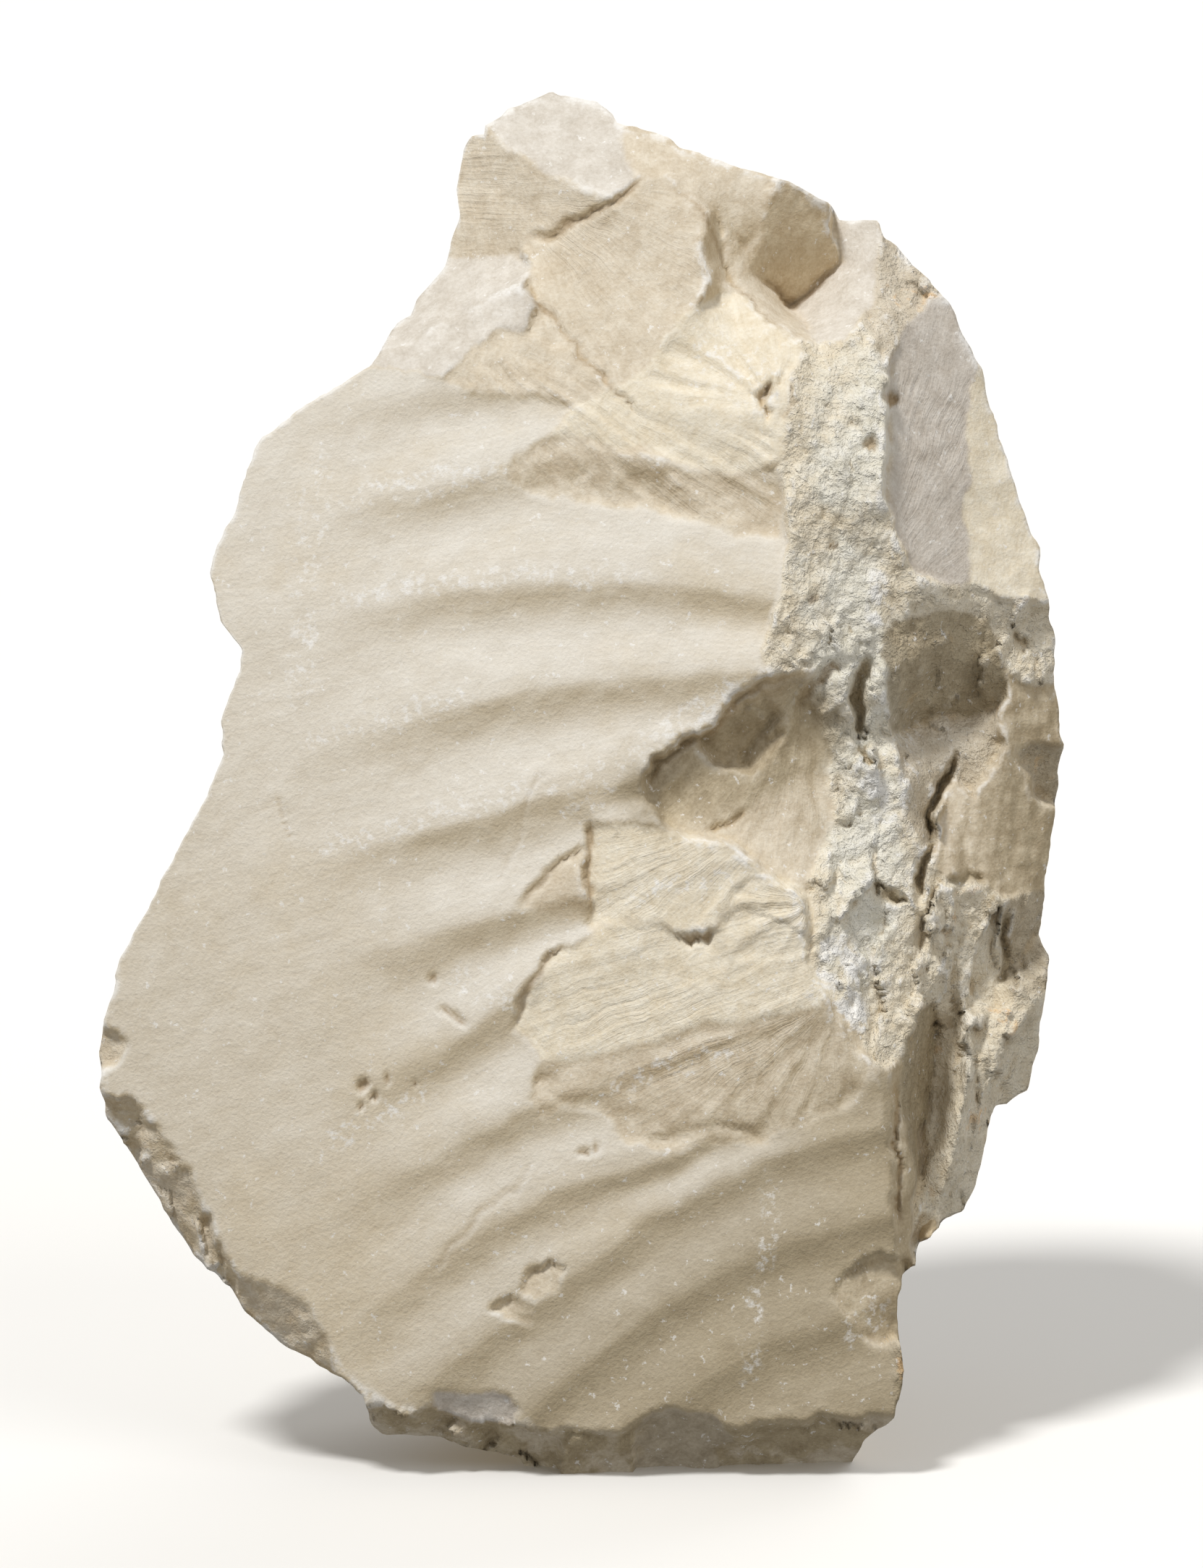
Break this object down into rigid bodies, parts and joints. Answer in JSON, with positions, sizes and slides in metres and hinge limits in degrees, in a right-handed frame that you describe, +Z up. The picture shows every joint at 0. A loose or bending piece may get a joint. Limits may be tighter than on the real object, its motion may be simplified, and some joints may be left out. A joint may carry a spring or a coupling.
{
  "type": "chalk rock",
  "caption": "Upright broken lump of pale chalk with a scraped, fluted front face, rough fractured flank and a small flat base to stand on.",
  "frame": {"origin": "centre of the bounding box, on the flat spot that the rock stands on", "axes": "+Z up, along the rock's long way; the scraped face looks toward -Y and leans back; +X to the right seen from that face"},
  "size_m": [0.1318, 0.0834, 0.1848],
  "materials": {
    "chalk": "dry matt chalk, scraped in front and freshly broken elsewhere"
  },
  "bodies": {
    "root": {"chalk_rock": "chalk"}
  },
  "joints": []
}
